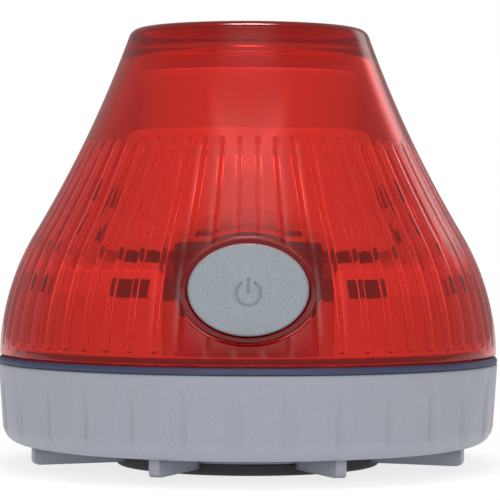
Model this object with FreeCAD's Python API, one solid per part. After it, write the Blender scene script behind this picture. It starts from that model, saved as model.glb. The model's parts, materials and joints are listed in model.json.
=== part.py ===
"""LED safety flare: a red ribbed dome on a grey twist-off base with a magnet underneath.

Frame: millimetres, +Z up, origin on the axis at the face of the magnet pad.
The button faces -Y.  Angles around the axis are measured from the front (-Y) towards +X.
"""
import FreeCAD, Part
import math
import os

V = FreeCAD.Vector
UP = V(0, 0, 1)
DOWN = V(0, 0, -1)
FORWARD = V(0, -1, 0)
INWARD = V(0, 1, 0)

# ---- driving dimensions ----------------------------------------------------------------------
# base cover, turned off by hand
BASE_R = 42.5
BASE_TOP = 17.6
BASE_UNDER = 3.9
BASE_TAPER = 0.95
BASE_BOTTOM_ROUND = 3.3
BASE_BORE_R = 39.6
BASE_FLOOR = 6.2
WELL_R = 24.2
WELL_TOP = 9.2
FLUTES = 30
FLUTE_FIRST = -3.0
FLUTE_R = 1.5
FLUTE_DEPTH = 0.55
FLUTE_Z = (4.9, 16.4)
FINS = 8
FIN_R = 38.4
FIN_T = 1.8
FIN_Z = 1.05

# magnet under the base
PAD_R = 22.5
PAD_TOP = 2.0
MAGNET_BOSS_R = 22.9
MAGNET_BORE_R = 3.2
CUP_R = 20.9
CUP_TOP = 7.2
CUP_WALL = 1.8
MAGNET_SCREWS = 3
MAGNET_SCREW_PCR = 12.0
MAGNET_SCREW_R = 1.25
MAGNET_HEAD_R = 2.4
MAGNET_HEAD_SINK = 1.1
SCREW_CLEARANCE = 0.1

# three-start thread between chassis neck and base
LEAD = 9.0
STARTS = 3
NECK_R = 38.4
NECK_WALL = 2.0
NECK_BOTTOM = 8.6
RIDGE_H = 0.9
RIDGE_ROOT = 1.7
RIDGE_CREST = 1.1
RIDGE_Z = 9.8
RIDGE_SWEEP = 230.0
LUG_SWEEP = 80.0

# dome: convex shoulder arc, then a long concave arc, then a nearly flat top
DOME_R = 42.3
DOME_BOTTOM = 19.05
DOME_DRAFT = 1.54
SHOULDER_R = 41.8
SHOULDER_SLOPE = 30.84
FLANK_R = 195.4
DOME_RIM_Z = 74.1
DOME_TOP = 74.6
DOME_WALL = 1.9
DOME_SKIRT_Z = 18.75
DOME_SKIRT_R = 41.6
DOME_CEILING = 70.6
RIM_ROUND = 2.0
CEILING_ROUND = 3.8

# narrow round ribs on the inner face of the dome, running out at the top
RIBS = 60
RIB_FIRST = 3.0
RIB_H = 0.65
RIB_HALF = 0.6
RIB_SUNK = 0.35
RIB_Z = (20.6, 54.6)
RIB_FULL_Z = (21.2, 52.2)

# chassis: neck, flange, drum with a drawn-in shoulder, deck
FLANGE_R = 39.9
FLANGE_TOP = 20.2
DRUM_R = 37.4
DRUM_TOP = 29.4
DECK_R = 36.1
DECK_TOP = 33.3
DECK_T = 1.4
CHASSIS_WALL = 1.8
NOTCH_HALF = 13.2
NOTCH_Y = -22.3
WINDOW_Z = (29.0, DECK_TOP - DECK_T)
WINDOWS = ((-30, 7.0), (30, 7.0), (-65, 9.4), (65, 9.4), (-115, 9.4), (115, 9.4), (-150, 7.0), (150, 7.0))
POST_PCR = 27.9
POST_R = 1.1
POST_TOP = 43.2
POST_ANGLES = (-55.0, 55.0, -125.0, 125.0)

# four upright AA cells in the battery tube
CELL_R = 7.2
CELL_LENGTH = 50.5
CELL_NUB = 1.3
CELL_NUB_R = 2.7
CELL_BOTTOM = 14.1
CELL_PITCH_R = (CELL_R + 0.02) * math.sqrt(2)
CELL_ANGLES = (45, 135, 225, 315)
TUBE_R = 18.5
TUBE_WALL = 0.95
TUBE_BOTTOM = 15.0
TUBE_TOP = 66.3
TUBE_ROOF = 1.4
TUBE_EDGE_ROUND = 0.35
LEAD_HOLE_ANGLES = (135, 225)
TUBE_FLANGE_R = 21.9
TUBE_FLANGE_T = 1.5
TUBE_SCREW_PCR = 20.4
TUBE_SCREW_R = 0.9
TUBE_SCREW_ANGLES = (60, 180, 300)

# circuit board and diffuser cone
BOARD_R = (22.2, 32.4)
BOARD_T = 1.2
CONE_TOP = 56.5
CONE_TOP_R = 20.4
CONE_BOTTOM = 36.4
CONE_BOTTOM_R = 31.2
CONE_WALL = 1.5
CONE_FLAT_Y = -27.6
CONE_SHOULDER = 2.6
WELL_HOLE_R = 2.7
LINER_WALL = 0.5

# button, measured at the oval's centre
BUTTON_Z = 30.7
CAP_HALF = (9.45, 7.2)
CAP_LIP = (0.85, 0.55)
CAP_GAP = 0.3
CAP_EDGE_Y = -40.6
CAP_CROWN = 0.5
COLLAR_WALL = 0.85
COLLAR_Y = -40.9
POCKET_HALF = (11.4, 8.75)
POCKET_Y = -40.2
BLOCK_HALF = 11.4
BLOCK_Y = -33.2
BLOCK_BOTTOM = 20.4
TRAVEL = 0.8
STEM_R = 3.0
STEM_TIP_R = 1.6
FIT = 0.05
BUMP_R = 22.0
BUMP_HEIGHT = 0.42
BUMP_HALF = 5.0
SYMBOL_Z = 30.26
SYMBOL_R = 2.05
SYMBOL_LINE = 0.38
SYMBOL_DEPTH = 0.3


# ---- small helpers ---------------------------------------------------------------------------
def polar(radius, angle, z=0.0):
    """Point at a radius, at an angle from the front towards +X."""
    a = math.radians(angle)
    return V(radius * math.sin(a), -radius * math.cos(a), z)


def disc(radius, z0, z1, centre=V(0, 0, 0)):
    return Part.makeCylinder(radius, z1 - z0, V(centre.x, centre.y, z0), UP)


def ring(inner, outer, z0, z1, centre=V(0, 0, 0)):
    return disc(outer, z0, z1, centre).cut(disc(inner, z0 - 1, z1 + 1, centre))


def box(x, y, z):
    """Box from three (low, high) pairs."""
    return Part.makeBox(x[1] - x[0], y[1] - y[0], z[1] - z[0], V(x[0], y[0], z[0]))


def revolve(points):
    """Solid of revolution about Z from (radius, z) points."""
    vertices = [V(r, 0, z) for r, z in points]
    face = Part.Face(Part.makePolygon(vertices + vertices[:1]))
    return face.revolve(V(0, 0, 0), UP, 360)


def revolve_edges(edges):
    face = Part.Face(Part.Wire(edges))
    return face.revolve(V(0, 0, 0), UP, 360)


def turned(shape, angle):
    """Copy of a shape built at the front, turned about Z to an angle towards +X."""
    copy = shape.copy()
    copy.rotate(V(0, 0, 0), UP, angle)
    return copy


def around(shape, count, first=0.0):
    return [turned(shape, first + i * 360.0 / count) for i in range(count)]


def rounded(shape, radius, chosen):
    """Fillet the edges for which chosen(edge) is true."""
    edges = [edge for edge in shape.Edges if chosen(edge)]
    return shape.makeFillet(radius, edges)


def circle_at(z, radius, tolerance=0.05):
    """Chooser for full or part circles about Z at a height and radius."""
    def chosen(edge):
        box_of = edge.BoundBox
        if box_of.ZLength > tolerance or abs(box_of.ZMin - z) > tolerance:
            return False
        return abs(V(edge.Vertexes[0].X, edge.Vertexes[0].Y, 0).Length - radius) < tolerance
    return chosen


def oval(half_x, half_z, y0, y1, z=BUTTON_Z):
    """Elliptical bar along Y."""
    ellipse = Part.Ellipse(V(0, y0, z), half_x, half_z)
    ellipse.Axis = INWARD
    ellipse.XAxis = V(1, 0, 0)
    face = Part.Face(Part.Wire([ellipse.toShape()]))
    return face.extrude(V(0, y1 - y0, 0))


def bar(radius, y0, y1, x, z):
    """Round bar along Y."""
    return Part.makeCylinder(radius, y1 - y0, V(x, y0, z), INWARD)


def tablet(half_x, z0, z1, y0, y1, corner):
    """Plate across Y with rounded corners."""
    plate = box((-half_x, half_x), (y0, y1), (z0, z1))
    return rounded(plate, corner, lambda e: e.BoundBox.YLength > (y1 - y0) * 0.9)


def wire_along(points, radius, bend=1.2):
    """Round wire through points, with an arc of a set reach at each corner."""
    edges = []
    start = points[0]
    for before, corner, after in zip(points, points[1:], points[2:]):
        back = (before - corner).normalize()
        ahead = (after - corner).normalize()
        half = back.getAngle(ahead) / 2
        inward = (back + ahead).normalize()
        middle = corner + inward * (bend / math.cos(half) - bend * math.tan(half))
        enter, leave = corner + back * bend, corner + ahead * bend
        edges.append(Part.makeLine(start, enter))
        edges.append(Part.Arc(enter, middle, leave).toShape())
        start = leave
    edges.append(Part.makeLine(start, points[-1]))
    first = (points[1] - points[0]).normalize()
    profile = Part.Wire([Part.Circle(points[0], first, radius).toShape()])
    return Part.Wire(edges).makePipeShell([profile], True, True)


def coil_spring(r_low, r_high, z0, rise, turns, wire_r):
    """Round wire in a cone-shaped coil, one smooth curve to each quarter turn."""
    def at(share):
        a = 2 * math.pi * turns * share
        r = r_low + (r_high - r_low) * share
        return V(r * math.cos(a), r * math.sin(a), z0 + rise * share)

    def heading(share):
        return (at(share + 0.0001) - at(share - 0.0001)).normalize()

    quarters = int(turns * 4)
    edges = []
    for i in range(quarters):
        points = [at((i + j / 4) / quarters) for j in range(5)]
        curve = Part.BSplineCurve()
        curve.interpolate(Points=points, InitialTangent=heading(i / quarters),
                          FinalTangent=heading((i + 1) / quarters))
        edges.append(curve.toShape())
    profile = Part.Wire([Part.Circle(at(0), heading(0), wire_r).toShape()])
    return Part.Wire(edges).makePipeShell([profile], True, True)


def helical_ridge(root_r, crest_r, z_start, first, sweep):
    """One thread ridge that climbs with the lead, starting at an angle."""
    outward = 1.0 if crest_r > root_r else -1.0
    sunk = root_r - outward * 0.15
    helix = Part.makeHelix(LEAD, LEAD * sweep / 360.0, sunk)
    corners = [V(sunk, 0, -RIDGE_ROOT / 2), V(crest_r, 0, -RIDGE_CREST / 2),
               V(crest_r, 0, RIDGE_CREST / 2), V(sunk, 0, RIDGE_ROOT / 2)]
    profile = Part.makePolygon(corners + corners[:1])
    ridge = Part.Wire(helix).makePipeShell([profile], True, True)
    ridge.translate(V(0, 0, z_start))
    return turned(ridge, first)


def screw(head_r, head_h, shank_r, length, at, along, recess=True):
    """Pan-head screw: the seat is at a point, the shank runs along a direction."""
    head = Part.makeCylinder(head_r, head_h, at, along * -1)
    head = head.makeFillet(head_h * 0.4, [e for e in head.Edges
                                          if (e.BoundBox.Center - at).dot(along) < -head_h * 0.9
                                          and e.Closed])
    body = head.fuse(Part.makeCylinder(shank_r, length, at, along))
    if recess:
        socket = Part.makeCylinder(head_r * 0.35, head_h * 0.6, at - along * head_h, along)
        body = body.cut(socket)
    return body.removeSplitter()


# ---- base ------------------------------------------------------------------------------------
def magnet_screw_spots(z=0.0):
    return [polar(MAGNET_SCREW_PCR, 360.0 / MAGNET_SCREWS * i, z) for i in range(MAGNET_SCREWS)]


def flute_tool():
    """Slim barrel that sinks into the wall at mid height and leaves it at both ends."""
    z0, z1 = FLUTE_Z
    mid = (z0 + z1) / 2
    end_r = FLUTE_R - FLUTE_DEPTH
    side = Part.Arc(V(end_r, 0, z0), V(FLUTE_R, 0, mid), V(end_r, 0, z1)).toShape()
    tool = revolve_edges([side, Part.makeLine(V(end_r, 0, z1), V(0, 0, z1)),
                          Part.makeLine(V(0, 0, z1), V(0, 0, z0)),
                          Part.makeLine(V(0, 0, z0), V(end_r, 0, z0))])
    lean = math.degrees(math.atan2(BASE_TAPER, BASE_TOP - BASE_UNDER))
    tool.rotate(V(0, 0, mid), V(1, 0, 0), lean)
    wall_r = BASE_R - BASE_TAPER * (BASE_TOP - mid) / (BASE_TOP - BASE_UNDER)
    tool.translate(V(0, -(wall_r + FLUTE_R - FLUTE_DEPTH), 0))
    return tool


def base_cover():
    low_r = BASE_R - BASE_TAPER
    body = revolve([(0, PAD_TOP), (MAGNET_BOSS_R, PAD_TOP), (MAGNET_BOSS_R, BASE_UNDER),
                    (low_r, BASE_UNDER), (BASE_R, BASE_TOP), (0, BASE_TOP)])
    body = rounded(body, BASE_BOTTOM_ROUND, circle_at(BASE_UNDER, low_r))
    body = rounded(body, 0.5, circle_at(BASE_TOP, BASE_R))
    for tool in around(flute_tool(), FLUTES, FLUTE_FIRST):
        body = body.cut(tool)
    hollow = revolve([(0, WELL_TOP), (WELL_R, WELL_TOP), (WELL_R + 1.5, BASE_FLOOR),
                      (BASE_BORE_R, BASE_FLOOR), (BASE_BORE_R, BASE_TOP + 1), (0, BASE_TOP + 1)])
    body = body.cut(hollow)
    body = body.cut(disc(CUP_R + 0.1, PAD_TOP - 1, CUP_TOP))
    fin = box((-FIN_T / 2, FIN_T / 2), (-FIN_R, -MAGNET_BOSS_R + 0.4), (FIN_Z, BASE_UNDER + 0.3))
    fin = rounded(fin, 0.9, lambda e: e.BoundBox.XLength > FIN_T * 0.9
                  and e.BoundBox.ZMax < FIN_Z + 0.1 and e.BoundBox.YMin < -FIN_R + 0.1)
    body = body.multiFuse(around(fin, FINS, 360.0 / FINS / 2))
    lug_z = RIDGE_Z + LEAD / STARTS / 2
    lugs = [helical_ridge(BASE_BORE_R, BASE_BORE_R - RIDGE_H, lug_z, 360.0 / STARTS * i, LUG_SWEEP)
            for i in range(STARTS)]
    body = body.multiFuse(lugs)
    for spot in magnet_screw_spots():
        body = body.cut(disc(MAGNET_SCREW_R + SCREW_CLEARANCE, CUP_TOP - 1, WELL_TOP + 1, spot))
        body = body.cut(disc(MAGNET_HEAD_R + 0.3, WELL_TOP - MAGNET_HEAD_SINK, WELL_TOP + 1, spot))
    body = body.cut(disc(PIVOT_SCREW_R, CUP_TOP - 1, WELL_TOP + 1))
    return body.removeSplitter()


def magnet_cup():
    cup = disc(CUP_R, PAD_TOP, CUP_TOP)
    cup = rounded(cup, 0.6, circle_at(CUP_TOP, CUP_R))
    cup = cup.cut(disc(CUP_R - CUP_WALL, PAD_TOP - 1, CUP_TOP - CUP_WALL))
    for spot in magnet_screw_spots():
        cup = cup.cut(disc(MAGNET_SCREW_R, PAD_TOP, CUP_TOP + 1, spot))
    return cup


def magnet_disc():
    magnet = ring(MAGNET_BORE_R, CUP_R - CUP_WALL - 0.15, PAD_TOP, CUP_TOP - CUP_WALL - FIT)
    for spot in magnet_screw_spots():
        magnet = magnet.cut(disc(MAGNET_SCREW_R + 0.55, PAD_TOP - 1, CUP_TOP, spot))
    return magnet


def magnet_pad():
    pad = disc(PAD_R, 0, PAD_TOP)
    pad = rounded(pad, 0.7, circle_at(0, PAD_R))
    return rounded(pad, 0.3, circle_at(PAD_TOP, PAD_R))


def magnet_screws():
    seat = WELL_TOP - MAGNET_HEAD_SINK
    length = seat - (PAD_TOP + 2.2)
    one = screw(MAGNET_HEAD_R, 1.0, MAGNET_SCREW_R, length, polar(MAGNET_SCREW_PCR, 0, seat), DOWN)
    return Part.makeCompound(around(one, MAGNET_SCREWS))


# ---- contact carrier that turns on the base ---------------------------------------------------
CARRIER_Z = (9.3, 11.3)
BUSH_R = 3.25
BUSH_TOP = 11.4
WASHER_R = 5.0
WASHER_T = 0.5
PIVOT_SCREW_R = 1.25
CARRIER_R = 17.2
FINGER_TOP = 26.0
FINGER_HALF = 2.4
FINGER_T = 2.4
PLATE_T = 0.3
PLATE_HALF = (3.6, 11.2)
SPRING_WIRE_R = 0.3
SPRING_R = (3.3, 2.0)
SPRING_TURNS = 2.5


def pivot_bush():
    return ring(PIVOT_SCREW_R + SCREW_CLEARANCE, BUSH_R, WELL_TOP, BUSH_TOP)


def pivot_washer():
    return ring(PIVOT_SCREW_R + SCREW_CLEARANCE, WASHER_R, BUSH_TOP, BUSH_TOP + WASHER_T)


def pivot_screw():
    seat = V(0, 0, BUSH_TOP + WASHER_T)
    return screw(2.5, 1.3, PIVOT_SCREW_R, seat.z - CUP_TOP - 0.2, seat, DOWN)


def contact_carrier():
    """Disc with a hub hole and four fingers that stand between the cells and key it to them."""
    body = disc(CARRIER_R, *CARRIER_Z)
    finger = box((-FINGER_HALF, FINGER_HALF), (-CARRIER_R, -CARRIER_R + FINGER_T),
                 (CARRIER_Z[0], FINGER_TOP))
    body = body.multiFuse(around(finger, 4))
    body = body.cut(ring(CARRIER_R, CARRIER_R * 2, 0, FINGER_TOP + 1))
    body = body.cut(disc(BUSH_R + FIT, 0, BUSH_TOP + 1))
    for angle in (45, 225):
        body = body.cut(disc(0.7, 0, BUSH_TOP + 1, polar(CELL_PITCH_R, angle)))
    return body.removeSplitter()


def carrier_plates():
    """Two strips, each joining the lower ends of two neighbouring cells."""
    half_x, half_y = PLATE_HALF
    z0, z1 = CARRIER_Z[1], CARRIER_Z[1] + PLATE_T
    strips = []
    for side in (-1, 1):
        x = side * (CELL_R + 0.02)
        strip = box((x - half_x, x + half_x), (-half_y, half_y), (z0, z1))
        strip = rounded(strip, 1.5, lambda e: e.BoundBox.ZLength > PLATE_T * 0.9)
        strips.append(strip.cut(disc(WASHER_R + 0.3, z0 - 1, z1 + 1)))
    return Part.makeCompound(strips)


def contact_springs():
    """Four springs that narrow towards the cells, shown pressed by them."""
    z0 = CARRIER_Z[1] + PLATE_T + SPRING_WIRE_R
    rise = CELL_BOTTOM - SPRING_WIRE_R - z0
    coil = coil_spring(SPRING_R[0], SPRING_R[1], z0, rise, SPRING_TURNS, SPRING_WIRE_R)
    coils = []
    for angle in CELL_ANGLES:
        one = coil.copy()
        one.translate(polar(CELL_PITCH_R, angle))
        coils.append(one)
    return Part.makeCompound(coils)


# ---- dome ------------------------------------------------------------------------------------
A0 = math.radians(DOME_DRAFT)
A1 = math.radians(SHOULDER_SLOPE)
SHOULDER_C = (DOME_R - SHOULDER_R * math.cos(A0), DOME_BOTTOM - SHOULDER_R * math.sin(A0))
TURN = (SHOULDER_C[0] + SHOULDER_R * math.cos(A1), SHOULDER_C[1] + SHOULDER_R * math.sin(A1))
FLANK_C = (TURN[0] + FLANK_R * math.cos(A1), TURN[1] + FLANK_R * math.sin(A1))


def skin_point(a, depth=0.0, flank=False):
    """Point of the dome's profile at slope a (radians), a depth below the outer skin."""
    if flank:
        r = FLANK_R + depth
        return V(FLANK_C[0] - r * math.cos(a), 0, FLANK_C[1] - r * math.sin(a))
    r = SHOULDER_R - depth
    return V(SHOULDER_C[0] + r * math.cos(a), 0, SHOULDER_C[1] + r * math.sin(a))


def skin_edges(depth, z_low, z_high):
    """The two profile arcs at a depth below the outer skin, between two heights."""
    a_low = math.asin((z_low - SHOULDER_C[1]) / (SHOULDER_R - depth))
    a_high = math.asin((FLANK_C[1] - z_high) / (FLANK_R + depth))
    shoulder = Part.Arc(skin_point(a_low, depth), skin_point((a_low + A1) / 2, depth),
                        skin_point(A1, depth))
    flank = Part.Arc(skin_point(A1, depth), skin_point((A1 + a_high) / 2, depth, True),
                     skin_point(a_high, depth, True))
    return [shoulder.toShape(), flank.toShape()]


def skin_at(z, depth=0.0):
    """Profile point and slope at a height."""
    turn_z = skin_point(A1, depth).z
    if z < turn_z:
        a = math.asin((z - SHOULDER_C[1]) / (SHOULDER_R - depth))
        return skin_point(a, depth), a
    a = math.asin((FLANK_C[1] - z) / (FLANK_R + depth))
    return skin_point(a, depth, True), a


def ends(edges):
    first = edges[0].firstVertex().Point
    last = edges[-1].lastVertex().Point
    return first, last


def dome_envelope():
    """Solid inside the dome's outer skin."""
    skin = skin_edges(0, DOME_BOTTOM, DOME_RIM_Z)
    low, high = ends(skin)
    crown = Part.Arc(high, V(high.x / 2, 0, DOME_RIM_Z + (DOME_TOP - DOME_RIM_Z) * 0.75),
                     V(0, 0, DOME_TOP)).toShape()
    skirt = V(DOME_SKIRT_R, 0, DOME_SKIRT_Z)
    foot = V(0, 0, DOME_SKIRT_Z)
    lines = [Part.makeLine(V(0, 0, DOME_TOP), foot), Part.makeLine(foot, skirt),
             Part.makeLine(skirt, low)]
    solid = revolve_edges(skin + [crown] + lines)
    return rounded(solid, RIM_ROUND, circle_at(DOME_RIM_Z, high.x))


def dome_hollow():
    skin = skin_edges(DOME_WALL, DOME_SKIRT_Z - 0.5, DOME_CEILING)
    low, high = ends(skin)
    top = V(0, 0, DOME_CEILING)
    foot = V(0, 0, low.z)
    lines = [Part.makeLine(high, top), Part.makeLine(top, foot), Part.makeLine(foot, low)]
    solid = revolve_edges(skin + lines)
    return rounded(solid, CEILING_ROUND, circle_at(DOME_CEILING, high.x))


def rib_stations():
    """(height, fullness) up one rib: a short lead-in, full height, a round run-out."""
    low, high = RIB_FULL_Z
    steps = 4
    stations = [(RIB_Z[0], 0.6)]
    stations += [(low + (high - low) * i / steps, 1.0) for i in range(steps + 1)]
    run_out = RIB_Z[1] - high
    stations += [(high + run_out * t, math.sqrt(1 - t * t)) for t in (0.4, 0.7, 0.9, 0.98)]
    return stations


def rib():
    """One round rib on the inner face, lofted between cross-sections up the profile."""
    sections = []
    for z, fullness in rib_stations():
        at, slope = skin_at(z, DOME_WALL)
        half = RIB_HALF * (0.35 + 0.65 * fullness)
        inward = V(-math.cos(slope), 0, -math.sin(slope))
        root = at - inward * RIB_SUNK
        crest = at + inward * (RIB_H * fullness)
        left = root + V(0, -half, 0)
        right = root + V(0, half, 0)
        sections.append(Part.Wire([Part.Arc(left, crest, right).toShape(),
                                   Part.makeLine(right, left)]))
    return turned(Part.makeLoft(sections, True, False), -90)


def dome_lens():
    envelope = dome_envelope()
    hollow = dome_hollow()
    shell = envelope.cut(hollow)
    ribs = around(rib(), RIBS, RIB_FIRST)
    block = box((-BLOCK_HALF, BLOCK_HALF), (-BASE_R, BLOCK_Y), (BLOCK_BOTTOM, DOME_RIM_Z))
    block = block.common(envelope)
    collar = oval(CAP_HALF[0] + CAP_GAP + COLLAR_WALL, CAP_HALF[1] + CAP_GAP + COLLAR_WALL,
                  COLLAR_Y, BLOCK_Y)
    pocket = oval(POCKET_HALF[0], POCKET_HALF[1], -BASE_R - 1, POCKET_Y)
    recess = tablet(BLOCK_HALF + 0.1, BLOCK_BOTTOM, SEAL_Z[1] + 0.1, BLOCK_Y, NOTCH_Y, SEAL_CORNER)
    body = shell.multiFuse(ribs + [block]).cut(recess)
    body = body.cut(pocket)
    body = body.fuse(collar)
    return body.cut(oval(CAP_HALF[0] + CAP_GAP, CAP_HALF[1] + CAP_GAP, -BASE_R - 1, BLOCK_Y + 1))


ORING_R = 0.48
GROOVE_R = FLANGE_R - 0.22
GROOVE_Z = 19.5


def dome_seal():
    """O-ring in the flange groove."""
    return Part.makeTorus(GROOVE_R, ORING_R, V(0, 0, GROOVE_Z), UP)


def base_seal():
    """Navy gasket between the base rim and the dome, rounded in at its upper edge."""
    gasket = ring(NECK_R, BASE_R - 0.05, BASE_TOP + 0.02, DOME_SKIRT_Z - 0.05)
    return rounded(gasket, 0.75, circle_at(DOME_SKIRT_Z - 0.05, BASE_R - 0.05))


# ---- chassis and what stands on it ------------------------------------------------------------
PANEL_HALF = NOTCH_HALF + 0.8
PANEL_T = 1.6
PANEL_TOP = 28.5
PANEL_Y = (BLOCK_Y + FIT, BLOCK_Y + FIT + PANEL_T)


def front_notch(top):
    return box((-NOTCH_HALF, NOTCH_HALF), (-BASE_R, NOTCH_Y), (FLANGE_TOP, top))


def front_panel():
    """Low wall behind the button with a sill in front of it, cut out for the button's seal."""
    sill_top = FLANGE_TOP - FIT
    wall = box((-PANEL_HALF, PANEL_HALF), PANEL_Y, (sill_top - 1, PANEL_TOP))
    sill = box((-PANEL_HALF, PANEL_HALF), (-NECK_R + NECK_WALL - 0.2, PANEL_Y[1]),
               (DOME_SKIRT_Z + 0.15, sill_top))
    bosses = [bar(FRAME_BOSS_R, PANEL_Y[1] - 0.2, FRAME_Y[0] - 0.02, x, z) for x, z in FRAME_SCREW_SPOTS]
    panel = wall.multiFuse([sill] + bosses)
    panel = panel.cut(oval(SEAL_OVAL[0] + 0.1, SEAL_OVAL[1] + 0.1, PANEL_Y[0] - 1, PANEL_Y[1] + 1))
    for x, z in FRAME_SCREW_SPOTS:
        panel = panel.cut(bar(FRAME_SCREW_R, PANEL_Y[0] + 0.3, FRAME_Y[0] + 1, x, z))
    return panel


def chassis():
    inner = NECK_R - NECK_WALL
    skirt_z = DOME_SKIRT_Z - FIT
    under_deck = DECK_TOP - DECK_T
    outline = [(inner, NECK_BOTTOM), (NECK_R, NECK_BOTTOM), (NECK_R, skirt_z),
               (FLANGE_R, skirt_z), (FLANGE_R, FLANGE_TOP), (DRUM_R, FLANGE_TOP),
               (DRUM_R, DRUM_TOP), (DECK_R, DECK_TOP),
               (TUBE_R + 0.2, DECK_TOP), (TUBE_R + 0.2, under_deck),
               (DECK_R - CHASSIS_WALL + 0.4, under_deck), (DRUM_R - CHASSIS_WALL, DRUM_TOP),
               (DRUM_R - CHASSIS_WALL, FLANGE_TOP), (inner, FLANGE_TOP - 0.2)]
    body = revolve(outline)
    body = rounded(body, 0.6, circle_at(DECK_TOP, DECK_R))
    body = body.cut(front_notch(DECK_TOP + 1))
    body = body.cut(Part.makeTorus(GROOVE_R, ORING_R + 0.02, V(0, 0, GROOVE_Z), UP))
    for angle, width in WINDOWS:
        window = box((-width / 2, width / 2), (-DRUM_R - 1, -DECK_R + CHASSIS_WALL + 1), WINDOW_Z)
        body = body.cut(turned(window, angle))
    posts = [disc(POST_R, DECK_TOP - 0.5, POST_TOP, polar(POST_PCR, a)) for a in POST_ANGLES]
    ridges = [helical_ridge(NECK_R, NECK_R + RIDGE_H, RIDGE_Z, 360.0 / STARTS * i, RIDGE_SWEEP)
              for i in range(STARTS)]
    body = body.multiFuse(posts + ridges + [front_panel()])
    for angle in TUBE_SCREW_ANGLES:
        body = body.cut(disc(TUBE_SCREW_R, under_deck - 1, DECK_TOP + 1, polar(TUBE_SCREW_PCR, angle)))
    return body.removeSplitter()


def battery_tube():
    inner = TUBE_R - TUBE_WALL
    body = disc(TUBE_R, TUBE_BOTTOM, TUBE_TOP)
    body = rounded(body, TUBE_EDGE_ROUND, circle_at(TUBE_TOP, TUBE_R))
    body = body.fuse(disc(TUBE_FLANGE_R, DECK_TOP, DECK_TOP + TUBE_FLANGE_T))
    body = body.cut(disc(inner, TUBE_BOTTOM - 1, TUBE_TOP - TUBE_ROOF))
    for angle in TUBE_SCREW_ANGLES:
        spot = polar(TUBE_SCREW_PCR, angle)
        body = body.cut(disc(TUBE_SCREW_R + FIT, DECK_TOP - 1, DECK_TOP + TUBE_FLANGE_T + 1, spot))
    for angle in LEAD_HOLE_ANGLES:
        body = body.cut(disc(LEAD_R * 2, TUBE_TOP - 3, TUBE_TOP + 1, polar(CELL_PITCH_R, angle)))
    return body.removeSplitter()


def tube_screws():
    seat = DECK_TOP + TUBE_FLANGE_T
    one = screw(1.4, 0.9, TUBE_SCREW_R, 2.8, polar(TUBE_SCREW_PCR, 0, seat), DOWN)
    return Part.makeCompound([turned(one, angle) for angle in TUBE_SCREW_ANGLES])


def battery_cells():
    """Four AA cells in series, two with the nub up and two with the nub down."""
    cells = []
    top = CELL_BOTTOM + CELL_LENGTH
    for angle, nub_up in zip(CELL_ANGLES, (True, False, True, False)):
        spot = polar(CELL_PITCH_R, angle)
        if nub_up:
            can = disc(CELL_R, CELL_BOTTOM, top - CELL_NUB, spot)
            nub = disc(CELL_NUB_R, top - CELL_NUB - 0.1, top, spot)
        else:
            can = disc(CELL_R, CELL_BOTTOM + CELL_NUB, top, spot)
            nub = disc(CELL_NUB_R, CELL_BOTTOM, CELL_BOTTOM + CELL_NUB + 0.1, spot)
        can = can.makeFillet(0.5, [e for e in can.Edges if e.Closed and e.BoundBox.ZLength < 0.01])
        cells.append(can.fuse(nub).removeSplitter())
    return Part.makeCompound(cells)


def top_contacts():
    """One bridge and two terminals under the roof of the tube."""
    z0 = CELL_BOTTOM + CELL_LENGTH
    z1 = TUBE_TOP - TUBE_ROOF
    pitch = CELL_R + 0.02
    pieces = [box((-pitch - 3.5, pitch + 3.5), (-pitch - 3.2, -pitch + 3.2), (z0, z1))]
    for side in (-1, 1):
        x = side * pitch
        terminal = box((x - 3.2, x + 3.2), (pitch - 3.2, pitch + 3.2), (z0, z1))
        pieces.append(terminal)
    shaped = [rounded(p, 1.2, lambda e: e.BoundBox.ZLength > (z1 - z0) * 0.9) for p in pieces]
    return Part.makeCompound(shaped)


def led_board():
    z1 = DECK_TOP + BOARD_T
    board = ring(BOARD_R[0], BOARD_R[1], DECK_TOP, z1)
    board = board.cut(front_notch(z1 + 1))
    for angle in POST_ANGLES:
        board = board.cut(disc(POST_R + 0.15, 30, 40, polar(POST_PCR, angle)))
    return board


LED_ANGLES = (-150, -100, -85, -70, -40, 40, 70, 85, 100, 150, 165, -165)
LED_PCR = 25.4


def leds():
    """White-bodied LEDs with a clear domed top, all facing up under the diffuser."""
    z0 = DECK_TOP + BOARD_T
    body = box((-1.7, 1.7), (-LED_PCR - 1.4, -LED_PCR + 1.4), (z0, z0 + 1.0))
    lens = Part.makeSphere(1.25, V(0, -LED_PCR, z0 + 0.8), UP, 0, 90, 360)
    one = body.fuse(lens).removeSplitter()
    return Part.makeCompound([turned(one, a) for a in LED_ANGLES])


CHIP_ANGLES = (-38.5, -31.5, 31.5, 38.0)
CHIP_PCR = 30.6


def driver_chips():
    """Black driver parts on the board's rim."""
    z0 = DECK_TOP + BOARD_T
    chip = box((-1.3, 1.3), (-CHIP_PCR - 1.2, -CHIP_PCR + 1.2), (z0, z0 + 1.8))
    return Part.makeCompound([turned(chip, a) for a in CHIP_ANGLES])


def cone_solid(inset, bottom):
    """Solid cone with a rounded shoulder and a flat front, inset by the wall."""
    slope = (CONE_BOTTOM_R - CONE_TOP_R) / (CONE_TOP - CONE_BOTTOM)
    top = CONE_TOP - inset
    low_r = CONE_BOTTOM_R + (CONE_BOTTOM - bottom) * slope - inset
    top_r = low_r - (top - bottom) * slope
    cone = revolve([(0, bottom), (low_r, bottom), (top_r, top), (0, top)])
    cone = rounded(cone, CONE_SHOULDER - inset, circle_at(top, top_r))
    return cone.cut(box((-40, 40), (-60, CONE_FLAT_Y + inset), (bottom - 1, top + 1)))


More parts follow.
